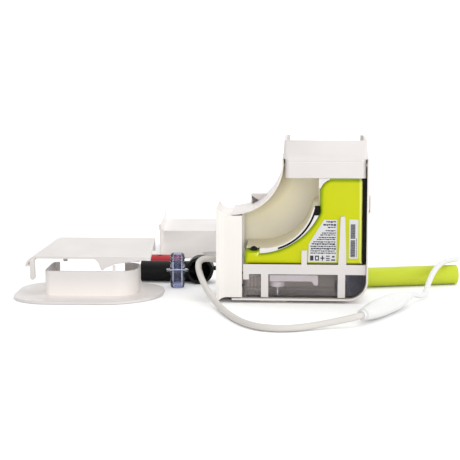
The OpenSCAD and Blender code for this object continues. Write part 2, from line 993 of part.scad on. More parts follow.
module connector_socket() {
    a = conn_split + 0.1;
    color([0.94, 0.94, 0.92])
    difference() {
        on_axis()
            rotate_extrude($fn = 48)
                polygon([[0, a], [conn_r, a], [conn_r, 60], [9, 70], [8.2, 80], [7, 90], [5.6, 98],
                    [4.6, 101], [4.4, conn_len - 1], [3.9, conn_len], [0, conn_len]]);
        on_axis()
            for (k = [0:2])
                rotate([0, 0, 120 * k])
                    translate([4, 0, a - 1])
                        cylinder(h = 11.5, r = 1.24);
        on_axis()
            translate([0, 0, conn_len - 9])
                cylinder(h = 10, r = cable_r - 0.25);
    }
}

// ---------- fitting kit ----------

// square end of a corner outside radius r, less g; (x, y) is the corner, (sx, sy) points inward
module corner_cut(x, y, sx, sy, r, g) {
    cx = x + sx * r;
    cy = y + sy * r;
    difference() {
        translate([min(x - sx, cx), min(y - sy, cy)])
            square([r + 1, r + 1]);
        translate([cx, cy])
            circle(r = r - g);
    }
}

module box_2d(g) {
    near = 24;
    far = 18;
    small = 6;
    difference() {
        translate([box_x0 + g, box_y0 + g])
            square([box_x1 - box_x0 - 2 * g, box_y1 - box_y0 - 2 * g]);
        corner_cut(box_x0, box_y0, 1, 1, small, g);
        corner_cut(box_x0, box_y1, 1, -1, small, g);
        corner_cut(box_x1, box_y0, -1, 1, near, g);
        corner_cut(box_x1, box_y1, -1, -1, far, g);
    }
}

module plate_2d() {
    x1 = plate_x0 + plate_w;
    y1 = plate_y0 + plate_d;
    corner = 38;
    near_right = 60;
    difference() {
        translate([plate_x0, plate_y0])
            square([plate_w, plate_d]);
        corner_cut(plate_x0, plate_y0, 1, 1, corner, 0);
        corner_cut(plate_x0, y1, 1, -1, corner, 0);
        corner_cut(x1, plate_y0, -1, 1, near_right, 0);
        corner_cut(x1, y1, -1, -1, corner, 0);
    }
}

module ceiling_plate() {
    mid_x = (box_x0 + box_x1) / 2;
    mid_y = (box_y0 + box_y1) / 2;
    color([0.93, 0.9, 0.89])
    difference() {
        union() {
            linear_extrude(height = plate_t)
                plate_2d();
            linear_extrude(height = box_top)
                box_2d(0);
            box(-216, -213.2, box_y0 + 0.2, box_y0 + 2, box_top - 1, 34);
        }
        translate([0, 0, plate_t])
            linear_extrude(height = box_top)
                box_2d(2);
        box(box_x0 + 7, -210, box_y1 - 4, box_y1 + 1, 8, box_top + 1);
        translate([0, 0, -1])
            linear_extrude(height = 10)
                rrect(-270, 25, -204, 61, 8);
        for (s = [-0.5, 0.5])
            post(mid_x + s * screw_pitch, mid_y, -1, 10, screw_hole_r);
    }
}

// rolled left edge of the joint cover with its hook, along local Y from the origin
module cover_roll(depth) {
    roll = 13;
    slab(0, depth)
        intersection() {
            difference() {
                translate([0, -roll])
                    circle(r = roll);
                translate([0, -roll])
                    circle(r = roll - 2);
            }
            translate([-roll - 1, -10.5])
                square([roll + 1.5, 12]);
        }
    box(-12.9, -8.6, 2, 10, -11.6, -9.6);
}

module joint_cover() {
    x0 = -294;
    x1 = -177;
    depth = 77.5;
    taper = 15;
    color([0.9, 0.87, 0.86])
    translate([0, box_y0, 42.6])
        rotate([6.2, 0, 0])
            union() {
                translate([0, 0, -2])
                    linear_extrude(height = 2)
                        polygon([[x0, 0], [x1, 0], [x1 - 3, depth], [x0 + taper, depth]]);
                translate([x0, 0, 0])
                    rotate([0, 0, -atan(taper / depth)])
                        cover_roll(depth / cos(atan(taper / depth)));
                slab(2, 5.4) {
                    translate([x0 - 7.6, -22.6])
                        square([5.2, 20]);
                    translate([x0 - 5, -22.6])
                        circle(r = 2.6);
                }
                slab(0, 2)
                    polygon([[-238, -1], [-233.5, -2.6], [-230.5, -6], [-228.8, -11], [-227.6, -13.6],
                        [-226, -13.8], [-223.6, -11.6], [-214, -7.4], [-188.5, -3.4], [x1, -2.2],
                        [x1, -1]]);
                box(x1 - 5, x1 - 3, depth - 5, depth, -13, -1);
                box(-275.6, -271.2, 54.2, 55.8, -20, -1);
                box(-206, -194.5, 54.2, 55.8, -20, -1);
            }
}

// side view of the coupler: straight sleeve from a to b with a leaning flange at its left end
module coupler_side(a, b) {
    lean = [[2, 0], [-0.2, 2.2], [-1.4, 8.6], [-3.4, 8.6], [-2.6, 2], [-2, 0]];
    translate([coupler_x0 - 2, a])
        square([coupler_x1 - coupler_x0 + 2, b - a]);
    polygon([for (p = lean) [coupler_x0 + p[0], b - eps + p[1]]]);
    polygon([for (p = lean) [coupler_x0 + p[0], a + eps - p[1]]]);
}

module duct_coupler() {
    y0 = 266;
    y1 = 368;
    top = 32.3;
    t = 2;
    color([0.92, 0.9, 0.88])
    translate([coupler_x0, y0, 0])
        rotate([0, 0, 2])
            translate([-coupler_x0, -y0, 0])
                difference() {
                    intersection() {
                        slab(y0 - 9, y1 + 9)
                            coupler_side(-top, top);
                        linear_extrude(height = top + 9)
                            coupler_side(y0, y1);
                    }
                    box(coupler_x0 - 5, coupler_x1 + 2, y0 + t, y1 - t, -1, top - t);
                    box(-142, coupler_x1 + 2, y0 - 1, y0 + t + 1, -1, 7.4);
                }
}

module rubber_inlet_elbow() {
    bell_x = -133.3;
    bell_r = 14.4;
    axis_y = 118;
    color([0.07, 0.07, 0.07])
    difference() {
        union() {
            rod_x(axis_y, rubber_r, -198, bell_x, rubber_r);
            rod_y(bell_x, bell_r, 100, axis_y, bell_r);
            translate([bell_x, axis_y, bell_r])
                sphere(r = bell_r);
            rod_x(112, 15.5, bell_x + 10, bell_x + bell_r + 3.4, 2.4);
        }
        rod_x(axis_y, rubber_r, -199, -168, 8);
        rod_x(axis_y, rubber_r, -170, bell_x, 7);
        rod_y(bell_x, bell_r, 99, axis_y, 11.4);
        translate([bell_x, axis_y, bell_r])
            sphere(r = 11.4);
    }
}

module hose_adaptor() {
    color([0.7, 0.78, 0.9, 0.4])
    translate([-155.6, 83, 0])
        rotate_extrude()
            polygon([[6, 0], [6.8, 0], [7.6, 2.6], [7.6, 6], [8.1, 6.6], [8.1, 16.8], [11.9, 17.2],
                [11.9, 19], [8.1, 19.4], [8.1, 27], [7.4, 28], [7.4, 30], [8.1, 30.6], [8.1, 32],
                [7.4, 32.6], [7.4, 34.4], [6.9, 36], [6, 36]]);
}

module red_clip() {
    clip_y = 146;
    clip_r = 12;
    color([0.85, 0.08, 0.1])
    difference() {
        union() {
            rod_x(clip_y, clip_r, -190, -157, clip_r);
            box(-190, -157, clip_y + 6, clip_y + 15, 4.6, 7);
            box(-190, -157, clip_y + 6, clip_y + 15, 17, 19.4);
        }
        rod_x(clip_y, clip_r, -191, -156, 9.5);
        box(-191, -156, clip_y + 6, clip_y + 16, 7, 17);
        for (x = [-183, -168])
            box(x, x + 5, clip_y - 4, clip_y + 4, 15, 26);
    }
}

module drain_hose() {
    turn = 13.76;
    color([0.72, 0.86, 0.15])
    translate([-15, 78.9, hose_r])
        rotate([0, 0, turn])
            difference() {
                rod_x(0, 0, 0, 160.6, hose_r);
                rod_x(0, 0, -1, 162, hose_r - 1.7);
            }
}

elbow_cover();
pipe_partition();
duct_foam();
side_foam();
housing_wall_side();
housing_room_side();
housing_screws();
cradle();
reservoir_tub();
reservoir_seal();
float_carrier();
float_pin();
float();
float_magnet();
suction_tube();
suction_filter();
release_slider();
vent_grommet();
rating_label();
barcode_label();
solenoid_yoke();
coil_bobbin();
coil_winding();
piston_tube();
piston();
spring_lower();
spring_upper();
inlet_cap();
outlet_cap();
inlet_valve();
outlet_valve();
damper_posts();
circuit_board();
board_parts();
hall_sensors();
cable_gland();
power_cable();
connector_plug();
contact_pins();
connector_socket();
tail_cable();
vertical_collar();
horizontal_collar();
ceiling_plate();
joint_cover();
duct_coupler();
rubber_inlet_elbow();
hose_adaptor();
red_clip();
drain_hose();
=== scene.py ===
"""Looks of the condensate pump kit: materials, printed labels, light and camera."""
import math

import bpy
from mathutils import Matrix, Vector


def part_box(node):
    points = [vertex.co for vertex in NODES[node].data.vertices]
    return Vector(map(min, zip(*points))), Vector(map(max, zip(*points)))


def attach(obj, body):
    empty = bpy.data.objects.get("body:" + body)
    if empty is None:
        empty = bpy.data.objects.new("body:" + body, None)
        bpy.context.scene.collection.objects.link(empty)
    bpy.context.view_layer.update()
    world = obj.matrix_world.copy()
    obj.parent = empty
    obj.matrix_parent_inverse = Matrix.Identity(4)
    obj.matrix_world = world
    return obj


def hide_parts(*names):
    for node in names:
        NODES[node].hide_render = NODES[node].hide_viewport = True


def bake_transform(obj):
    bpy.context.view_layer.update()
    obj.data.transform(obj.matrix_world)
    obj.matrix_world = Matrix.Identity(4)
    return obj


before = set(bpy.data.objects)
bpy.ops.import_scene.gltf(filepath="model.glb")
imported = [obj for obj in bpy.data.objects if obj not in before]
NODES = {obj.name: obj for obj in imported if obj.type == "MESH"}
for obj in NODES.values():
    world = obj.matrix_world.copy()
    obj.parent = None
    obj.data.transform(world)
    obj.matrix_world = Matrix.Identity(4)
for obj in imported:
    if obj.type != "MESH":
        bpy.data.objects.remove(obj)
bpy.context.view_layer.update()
MM = 0.001
WELD_GAP = 2e-6


# ---------------------------------------------------------------- materials

class Tree:
    """Short way to add and join shader nodes."""

    def __init__(self, name):
        self.mat = bpy.data.materials.new(name)
        self.mat.use_nodes = True
        self.nodes = self.mat.node_tree.nodes
        self.links = self.mat.node_tree.links
        self.bsdf = self.nodes["Principled BSDF"]
        self.out = self.nodes["Material Output"]
        self.coords = self.add("ShaderNodeTexCoord")

    def add(self, kind, **inputs):
        """New node, with its settings and its input values by name."""
        node = self.nodes.new(kind)
        for key, value in inputs.items():
            if hasattr(node, key) and key not in node.inputs:
                setattr(node, key, value)
            else:
                node.inputs[key].default_value = value
        return node

    def join(self, a, a_socket, b, b_socket):
        """Link between two nodes by the names of their sockets."""
        self.links.new(a.outputs[a_socket], b.inputs[b_socket])

    def set(self, **values):
        """Plain values of the main shader, with _ for the spaces in a name."""
        for key, value in values.items():
            self.bsdf.inputs[key.replace("_", " ")].default_value = value

    def noise(self, scale, detail=4.0, rough=0.5, stretch=None):
        """Noise fixed to the piece, longer along an axis if stretched."""
        node = self.add("ShaderNodeTexNoise", Scale=scale, Detail=detail, Roughness=rough)
        if stretch:
            mapping = self.add("ShaderNodeMapping", Scale=stretch)
            self.join(self.coords, "Object", mapping, "Vector")
            self.join(mapping, "Vector", node, "Vector")
        else:
            self.join(self.coords, "Object", node, "Vector")
        return node

    def place(self, axis):
        """Object coordinate along one axis, which is the row frame's at rest."""
        split = self.add("ShaderNodeSeparateXYZ")
        self.join(self.coords, "Object", split, "Vector")
        return split.outputs[axis]

    def fade(self, value, start, end):
        """0 below start and 1 above end."""
        node = self.add("ShaderNodeMapRange")
        node.inputs["From Min"].default_value = start
        node.inputs["From Max"].default_value = end
        self.links.new(value, node.inputs["Value"])
        return node.outputs["Result"]

    def ramp(self, source, socket, stops):
        """Colour ramp through (position, colour) stops."""
        node = self.add("ShaderNodeValToRGB")
        elements = node.color_ramp.elements
        while len(elements) < len(stops):
            elements.new(0.5)
        for element, (position, colour) in zip(elements, stops):
            element.position = position
            element.color = colour if len(colour) == 4 else (*colour, 1.0)
        self.join(source, socket, node, "Fac")
        return node

    def mix(self, fac, a, b, blend="MIX"):
        """Colour between a and b. Each input is a socket or a plain value."""
        node = self.add("ShaderNodeMix")
        node.data_type = "RGBA"
        node.blend_type = blend
        sockets = {"Factor": node.inputs[0], "A": node.inputs[6], "B": node.inputs[7]}
        for key, value in (("Factor", fac), ("A", a), ("B", b)):
            if isinstance(value, bpy.types.NodeSocket):
                self.links.new(value, sockets[key])
            elif key == "Factor":
                sockets[key].default_value = value
            else:
                sockets[key].default_value = (*value, 1.0)[:4]
        return node.outputs[2]

    def times(self, a, b):
        """Product of two values."""
        node = self.add("ShaderNodeMath", operation="MULTIPLY")
        self.links.new(a, node.inputs[0])
        self.links.new(b, node.inputs[1])
        return node.outputs["Value"]

    def rounded(self, radius):
        """Normal of edges as if they had this radius."""
        node = self.add("ShaderNodeBevel", Radius=radius)
        node.samples = 6
        return node.outputs["Normal"]

    def relief(self, height, strength, distance, radius=0.0):
        """Fine bump in the normal, over rounded edges if a radius is given."""
        node = self.add("ShaderNodeBump", Strength=strength, Distance=distance)
        self.links.new(height, node.inputs["Height"])
        if radius:
            self.links.new(self.rounded(radius), node.inputs["Normal"])
        self.join(node, "Normal", self.bsdf, "Normal")

    def edges(self, radius):
        """1 along sharp edges, 0 on open faces."""
        facing = self.add("ShaderNodeNewGeometry")
        dot = self.add("ShaderNodeVectorMath", operation="DOT_PRODUCT")
        self.links.new(facing.outputs["True Normal"], dot.inputs[0])
        self.links.new(self.rounded(radius), dot.inputs[1])
        return self.fade(dot.outputs["Value"], 0.995, 0.9)

    def enclosed(self, reach, low, high):
        """1 far inside this piece's own hollows, 0 in the open: the mask for painted light and shade.
        """
        node = self.add("ShaderNodeAmbientOcclusion", Distance=reach)
        node.samples = 8
        node.only_local = True
        return self.fade(node.outputs["AO"], high, low)


def shade(rgb, k):
    """Colour made lighter or darker by a factor."""
    return tuple(min(1.0, c * k) for c in rgb)


def moulded(name, rgb, rough=0.42, grain=900.0, bump=0.12, spread=0.03, coat=0.0, specular=0.4,
            radius=0.0006, hollow_light_and_shade=None, reach=0.03, span=(0.35, 0.95), where=None):
    """Moulded plastic: fine spark texture, slow colour drift, rounded edges, painted light and shade
    in the hollows.
    """
    t = Tree(name)
    drift = t.noise(22.0, 3.0)
    tone = t.ramp(drift, "Fac", [(0.3, shade(rgb, 1 - spread)), (0.7, shade(rgb, 1 + spread * 0.4))])
    colour = tone.outputs["Color"]
    # Painted light and shade: the hollows take their own colour through ambient occlusion.
    if hollow_light_and_shade:
        inside = t.enclosed(reach, *span)
        if where:
            inside = t.times(inside, where(t))
        colour = t.mix(inside, colour, hollow_light_and_shade)
    t.links.new(colour, t.bsdf.inputs["Base Color"])
    fine = t.noise(grain, 2.0)
    t.relief(fine.outputs["Fac"], bump, 0.00012, radius)
    gloss = t.ramp(drift, "Fac", [(0.25, (rough + 0.06,) * 3), (0.75, (rough - 0.05,) * 3)])
    t.join(gloss, "Color", t.bsdf, "Roughness")
    t.set(IOR=1.48, Specular_IOR_Level=specular, Coat_Weight=coat, Coat_Roughness=0.2)
    return t


def rubbery(name, rgb, rough=0.6, grain=1400.0, bump=0.25):
    """Dull blotchy surface with a fine grain, for rubber, mesh and magnet."""
    t = Tree(name)
    blotch = t.noise(60.0, 5.0)
    tone = t.ramp(blotch, "Fac", [(0.3, shade(rgb, 0.7)), (0.75, shade(rgb, 1.5))])
    t.join(tone, "Color", t.bsdf, "Base Color")
    fine = t.noise(grain, 3.0)
    t.relief(fine.outputs["Fac"], bump, 0.0002, 0.0006)
    t.set(Roughness=rough, IOR=1.5, Specular_IOR_Level=0.2)
    return t.mat


def foam(name):
    """Open-cell foam: coarse cells in bump and in colour."""
    t = Tree(name)
    cells = t.add("ShaderNodeTexVoronoi", Scale=900.0)
    t.join(t.coords, "Object", cells, "Vector")
    tone = t.ramp(cells, "Distance", [(0.0, (0.003, 0.003, 0.003)), (0.7, (0.014, 0.013, 0.012))])
    t.join(tone, "Color", t.bsdf, "Base Color")
    t.relief(cells.outputs["Distance"], 0.8, 0.0004)
    t.set(Roughness=0.95, Specular_IOR_Level=0.1)
    return t.mat


def metal(name, rgb, rough=0.3, brush=(1.0, 1.0, 40.0)):
    """Metal with fine brushed lines."""
    t = Tree(name)
    lines = t.noise(260.0, 4.0, 0.6, brush)
    tone = t.ramp(lines, "Fac", [(0.3, shade(rgb, 0.82)), (0.7, rgb)])
    t.join(tone, "Color", t.bsdf, "Base Color")
    gloss = t.ramp(lines, "Fac", [(0.3, (rough + 0.12,) * 3), (0.7, (rough,) * 3)])
    t.join(gloss, "Color", t.bsdf, "Roughness")
    t.relief(lines.outputs["Fac"], 0.1, 0.0001)
    t.set(Metallic=1.0)
    return t.mat


# Painted highlight along the edges of clear plastic, and how much less clear the edges are where it
# shows.
PAINTED_EDGE_HIGHLIGHT = (0.62, 0.64, 0.70)
EDGE_HIGHLIGHT_OPACITY = 0.35


def see_through(name, haze, amount, tint_and_shade, span, rough=0.15):
    """Thin tinted plastic: straight transparency with a little haze under a clear gloss, and a
    painted highlight along its edges.

    The two tints go from light to a darker painted shade along X, and span is the pair of X places
    between them."""
    t = Tree(name)
    drift = t.noise(35.0, 3.0)
    tone = t.ramp(drift, "Fac", [(0.3, shade(haze, 0.85)), (0.75, shade(haze, 1.15))])
    # Painted highlight: edges take a light colour and lose some of their clearness.
    edge = t.edges(0.0007)
    lit = t.mix(edge, tone.outputs["Color"], PAINTED_EDGE_HIGHLIGHT)
    t.links.new(lit, t.bsdf.inputs["Base Color"])
    t.relief(drift.outputs["Fac"], 0.15, 0.0004, 0.0006)
    t.set(Roughness=0.6, Specular_IOR_Level=0.0)
    # Painted shade: the clear tint turns darker along X, for the shadow behind the piece.
    side = t.fade(t.place("X"), *span)
    clear = t.add("ShaderNodeBsdfTransparent")
    t.links.new(t.mix(side, *tint_and_shade), clear.inputs["Color"])
    through = t.add("ShaderNodeMapRange")
    through.inputs["To Min"].default_value = amount
    through.inputs["To Max"].default_value = amount - EDGE_HIGHLIGHT_OPACITY
    t.links.new(edge, through.inputs["Value"])
    body = t.add("ShaderNodeMixShader")
    t.join(through, "Result", body, "Fac")
    t.links.new(t.bsdf.outputs["BSDF"], body.inputs[1])
    t.links.new(clear.outputs["BSDF"], body.inputs[2])
    gloss = t.add("ShaderNodeBsdfGlossy", Roughness=rough)
    mirror = t.add("ShaderNodeFresnel", IOR=1.42)
    skin = t.add("ShaderNodeMixShader")
    t.join(mirror, "Fac", skin, "Fac")
    t.links.new(body.outputs["Shader"], skin.inputs[1])
    t.links.new(gloss.outputs["BSDF"], skin.inputs[2])
    t.links.new(skin.outputs["Shader"], t.out.inputs["Surface"])
    return t.mat


def winding(name):
    """Enamelled copper wire, wound in close turns."""
    t = Tree(name)
    turns = t.add("ShaderNodeTexWave", Scale=420.0)
    turns.bands_direction = "Z"
    t.join(t.coords, "Object", turns, "Vector")
    tone = t.ramp(turns, "Fac", [(0.2, (0.25, 0.09, 0.03)), (0.8, (0.75, 0.33, 0.13))])
    t.join(tone, "Color", t.bsdf, "Base Color")
    t.relief(turns.outputs["Fac"], 0.6, 0.0003)
    t.set(Metallic=0.9, Roughness=0.35)
    return t.mat


# Warm beige of painted shade inside the elbow.
HOLLOW_SHADE_BEIGE = (0.82, 0.765, 0.56)
BEND_X = -94.2 * MM
BEND_R = 50.2 * MM
BEND_DROP = 3.8 * MM
STRAP_X = 42 * MM


def from_bend(t):
    """Distance from the axis of the elbow's curved wall."""
    bend_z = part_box("elbow_cover")[1].z - BEND_DROP
    flat = t.add("ShaderNodeMapping", Location=(-BEND_X, 0.0, -bend_z), Scale=(1.0, 0.0, 1.0))
    t.join(t.coords, "Object", flat, "Vector")
    reach = t.add("ShaderNodeVectorMath", operation="LENGTH")
    t.join(flat, "Vector", reach, "Vector")
    return reach.outputs["Value"]


def elbow_hollow(t):
    """1 on the elbow's inside, 0 on its strap and on the outside of its curved wall."""
    inside = t.fade(from_bend(t), BEND_R + 0.9 * MM, BEND_R + 1.6 * MM)
    left_of_strap = t.fade(t.place("X"), STRAP_X + MM, STRAP_X)
    return t.times(inside, left_of_strap)


def elbow_plastic():
    """White moulding with painted shade: beige inside, and browner near the curved wall where painted
    shadow falls.
    """
    t = moulded("elbow_plastic", (0.66, 0.62, 0.60), hollow_light_and_shade=HOLLOW_SHADE_BEIGE, reach=0.07, span=(0.75, 0.95),
                where=elbow_hollow)
    colour = t.bsdf.inputs["Base Color"].links[0].from_socket
    # Painted shadow: a browner band along the inside of the curved wall.
    away = t.fade(from_bend(t), BEND_R + 2.2 * MM, BEND_R + 16 * MM)
    near = t.fade(from_bend(t), BEND_R + 1.6 * MM, BEND_R + 2.2 * MM)
    wall_shadow = t.mix(away, (0.66, 0.64, 0.58), (1.0, 1.0, 1.0))
    inside = t.times(near, elbow_hollow(t))
    t.links.new(t.mix(inside, colour, t.mix(1.0, colour, wall_shadow, "MULTIPLY")),
                t.bsdf.inputs["Base Color"])
    return t.mat


def lime_plastic():
    """Lime moulding with painted shade and highlight: its rounded rim is darker green on its left and
    upper side and lighter on its right.
    """
    t = moulded("lime_plastic", (0.475, 0.505, 0.003), rough=0.4, specular=0.12)
    facing = t.add("ShaderNodeNewGeometry")
    split = t.add("ShaderNodeSeparateXYZ")
    t.join(facing, "Normal", split, "Vector")
    colour = t.bsdf.inputs["Base Color"].links[0].from_socket
    # Painted shade: the rim is darker green where it faces left and up.
    left = t.fade(split.outputs["X"], -0.04, -0.5)
    colour = t.mix(left, colour, (0.29, 0.40, 0.001))
    up = t.fade(split.outputs["Z"], 0.08, 0.6)
    colour = t.mix(up, colour, (0.27, 0.37, 0.001))
    # Painted highlight: the rim is lighter where it faces right, towards the light.
    right = t.fade(split.outputs["X"], 0.04, 0.45)
    colour = t.mix(right, colour, (0.80, 0.84, 0.18))
    t.links.new(colour, t.bsdf.inputs["Base Color"])
    return t.mat


EDGE_FRONT = 2.7 * MM
EDGE_BACK = 3.2 * MM


def partition_plastic():
    """White moulding with painted duct shade: pale front edge, warm grey painted behind it."""
    t = moulded("partition", (0.74, 0.69, 0.52), rough=0.55)
    colour = t.bsdf.inputs["Base Color"].links[0].from_socket
    # Painted shade: behind the front edge the white moulding is painted warm grey.
    behind = t.fade(t.place("Y"), EDGE_FRONT, EDGE_BACK)
    t.links.new(t.mix(behind, (0.64, 0.615, 0.60), colour), t.bsdf.inputs["Base Color"])
    return t.mat


# Painted light: the hollows of the white mouldings are lifted to a lighter warm tone.
WHITE = moulded("white_plastic", (0.60, 0.570, 0.555), hollow_light_and_shade=(0.92, 0.86, 0.82)).mat
ELBOW = elbow_plastic()
PALE = moulded("inner_white", (0.86, 0.84, 0.82), rough=0.5).mat
# Painted shade: the hollows of the ivory moulding are darker and warmer.
IVORY = moulded("ivory_plastic", (0.72, 0.69, 0.655), rough=0.38, hollow_light_and_shade=(0.66, 0.60, 0.50)).mat
LIME = lime_plastic()
PARTITION = partition_plastic()
# The black of the foam strips in the gaps beside the pump is partly the foam and partly painted shade
# of those gaps.
FOAM_AND_GAP_SHADE = foam("black_foam")
RUBBER = rubbery("black_rubber", (0.003, 0.0025, 0.003), rough=0.55)
VALVE = rubbery("valve_rubber", (0.6, 0.12, 0.03), rough=0.5)
STEEL = metal("steel", (0.62, 0.63, 0.65))
SPRING = metal("spring_steel", (0.75, 0.75, 0.78), rough=0.2)
BRASS = metal("contact_brass", (0.8, 0.6, 0.25), rough=0.22)
COPPER = winding("copper_winding")
# Smoky tub: its right side is tinted darker, painted shadow behind its corner.
SMOKE = see_through("smoky_clear", (0.40, 0.375, 0.39), 0.955,
                    [(0.99, 0.97, 0.985), (0.68, 0.69, 0.79)], (0.018, 0.025))
CLEAR = see_through("clear_plastic", (0.16, 0.20, 0.42), 0.95,
                    [(0.84, 0.86, 0.97), (0.84, 0.86, 0.97)], (0.0, 1.0), rough=0.08)
DARK = moulded("dark_plastic", (0.025, 0.025, 0.028), rough=0.45).mat
BOARD = moulded("board_green", (0.02, 0.11, 0.05), rough=0.35).mat
SHEATH = moulded("cable_sheath", (0.54, 0.515, 0.485), rough=0.45, grain=1500.0).mat
PLUG = moulded("connector_white", (0.64, 0.64, 0.63), rough=0.4, grain=1500.0).mat
RED = moulded("red_plastic", (0.42, 0.022, 0.032), rough=0.45, specular=0.2).mat
HOSE = moulded("hose_green", (0.46, 0.53, 0.03), rough=0.35, coat=0.1, spread=0.05, specular=0.2).mat
MESH = rubbery("filter_mesh", (0.03, 0.03, 0.035), grain=700.0, bump=0.7)
MAGNET = rubbery("magnet", (0.07, 0.07, 0.075), rough=0.5)
LABEL = moulded("label_film", (0.55, 0.55, 0.56), rough=0.3, bump=0.03, radius=0.0).mat
INK = moulded("label_ink", (0.02, 0.02, 0.035), rough=0.5, spread=0.4, radius=0.0).mat

LOOKS = {
    "elbow_cover": ELBOW, "pipe_partition": PARTITION, "duct_foam": FOAM_AND_GAP_SHADE, "side_foam": FOAM_AND_GAP_SHADE,
    "housing_wall_side": LIME, "housing_room_side": LIME, "housing_screws": STEEL,
    "cradle": WHITE, "reservoir_tub": SMOKE, "reservoir_seal": RUBBER, "float_carrier": PALE,
    "float_pin": STEEL, "float": PALE, "float_magnet": MAGNET, "suction_tube": CLEAR,
    "suction_filter": MESH, "release_slider": WHITE, "vent_grommet": RUBBER,
    "rating_label": LABEL, "barcode_label": LABEL, "solenoid_yoke": STEEL, "coil_bobbin": DARK,
    "coil_winding": COPPER, "piston_tube": STEEL, "piston": STEEL, "spring_lower": SPRING,
    "spring_upper": SPRING, "inlet_cap": DARK, "outlet_cap": DARK, "inlet_valve": VALVE,
    "outlet_valve": VALVE, "damper_posts": RUBBER, "circuit_board": BOARD, "board_parts": DARK,
    "hall_sensors": DARK, "cable_gland": SHEATH, "power_cable": SHEATH, "connector_plug": PLUG,
    "contact_pins": BRASS, "connector_socket": PLUG, "tail_cable": PLUG,
    "vertical_collar": WHITE, "horizontal_collar": IVORY, "ceiling_plate": WHITE,
    "joint_cover": WHITE, "duct_coupler": WHITE, "rubber_inlet_elbow": RUBBER,
    "hose_adaptor": CLEAR, "red_clip": RED, "drain_hose": HOSE,
}


# ---------------------------------------------------------------- carried-over CAD nodes

SMOOTH_BELOW = math.radians(32)
RIM_SHARPER_THAN = 1.0
RIM_WIDTH = 3.9 * MM
RIM_REACH = 0.3 * MM
FLAT_WITHIN = math.radians(0.5)


def node_group(name):
    """New geometry node group with its input and output nodes."""
    group = bpy.data.node_groups.new(name, "GeometryNodeTree")
    for way in ("INPUT", "OUTPUT"):
        group.interface.new_socket("Geometry", in_out=way, socket_type="NodeSocketGeometry")
    return group, group.nodes.new("NodeGroupInput"), group.nodes.new("NodeGroupOutput")


def compare(group, value, operation, limit):
    """True where a value is above or below a limit."""
    test = group.nodes.new("FunctionNodeCompare")
    test.data_type = "FLOAT"
    test.operation = operation
    test.inputs[1].default_value = limit
    group.links.new(value, test.inputs[0])
    return test.outputs["Result"]


def sharp_edges(group, angle):
    """True on the edges whose faces turn by more than an angle."""
    turn = group.nodes.new("GeometryNodeInputMeshEdgeAngle")
    return compare(group, turn.outputs["Unsigned Angle"], "GREATER_THAN", angle)


def smooth_group(angle):
    """Joins split corners, drops stored normals and shades smooth below an angle."""
    group, start, end = node_group("smooth_by_angle")
    add = group.nodes.new
    link = group.links.new
    drop = add("GeometryNodeRemoveAttribute")
    drop.inputs["Name"].default_value = "custom_normal"
    weld = add("GeometryNodeMergeByDistance")
    weld.inputs["Distance"].default_value = WELD_GAP
    soft = add("GeometryNodeSetShadeSmooth")
    soft.domain = "FACE"
    hard = add("GeometryNodeSetShadeSmooth")
    hard.domain = "EDGE"
    hard.inputs["Shade Smooth"].default_value = False
    link(start.outputs[0], drop.inputs["Geometry"])
    link(drop.outputs["Geometry"], weld.inputs["Geometry"])
    link(weld.outputs["Geometry"], soft.inputs["Geometry"])
    link(soft.outputs["Geometry"], hard.inputs["Geometry"])
    link(sharp_edges(group, angle), hard.inputs["Selection"])
    link(hard.outputs["Geometry"], end.inputs[0])
    return group


def rim_group(front):
    """Gives a bevel weight to the sharp edges whose two ends lie in front of this Y."""
    group, start, end = node_group("rim_weight")
    add = group.nodes.new
    link = group.links.new
    ends = add("GeometryNodeInputMeshEdgeVertices")
    chosen = sharp_edges(group, RIM_SHARPER_THAN)
    for socket in ("Position 1", "Position 2"):
        split = add("ShaderNodeSeparateXYZ")
        link(ends.outputs[socket], split.inputs["Vector"])
        both = add("FunctionNodeBooleanMath")
        link(chosen, both.inputs[0])
        link(compare(group, split.outputs["Y"], "LESS_THAN", front), both.inputs[1])
        chosen = both.outputs[0]
    store = add("GeometryNodeStoreNamedAttribute")
    store.data_type = "FLOAT"
    store.domain = "EDGE"
    store.inputs["Name"].default_value = "bevel_weight_edge"
    link(start.outputs[0], store.inputs["Geometry"])
    link(chosen, store.inputs["Value"])
    link(store.outputs["Geometry"], end.inputs[0])
    return group


def round_front_rim(name, width):
    """Rounds the outer edge of a piece's front face."""
    part = NODES[name]
    part.modifiers.new("weld", "WELD").merge_threshold = WELD_GAP
    flat = part.modifiers.new("flat", "DECIMATE")
    flat.decimate_type = "DISSOLVE"
    flat.angle_limit = FLAT_WITHIN
    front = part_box(name)[0].y + RIM_REACH
    part.modifiers.new("rim", "NODES").node_group = rim_group(front)
    bevel = part.modifiers.new("bevel", "BEVEL")
    bevel.limit_method = "WEIGHT"
    bevel.width = width
    bevel.segments = 5
    bevel.use_clamp_overlap = False


def dress(name, look, smooth):
    """Gives a CAD node its material and its smooth shading."""
    part = NODES[name]
    part.data.materials.clear()
    part.data.materials.append(look)
    part.modifiers.new("smooth", "NODES").node_group = smooth


round_front_rim("housing_wall_side", RIM_WIDTH)

SMOOTH = smooth_group(SMOOTH_BELOW)
for node_name, node_look in LOOKS.items():
    dress(node_name, node_look, SMOOTH)


# ---------------------------------------------------------------- spring copies

def coil(name, node):
    """Copy of a spring node, shaded smooth and baked in place, while the node itself is hidden."""
    piece = bpy.data.objects.new(name, NODES[node].data.copy())
    piece.matrix_world = NODES[node].matrix_world
    bpy.context.scene.collection.objects.link(piece)
    piece.modifiers.new("smooth", "NODES").node_group = SMOOTH
    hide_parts(node)
    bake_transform(piece)


coil("coil_below_piston", "spring_lower")
coil("coil_above_piston", "spring_upper")


# ---------------------------------------------------------------- printed labels

INK_LIFT = 0.02 * MM


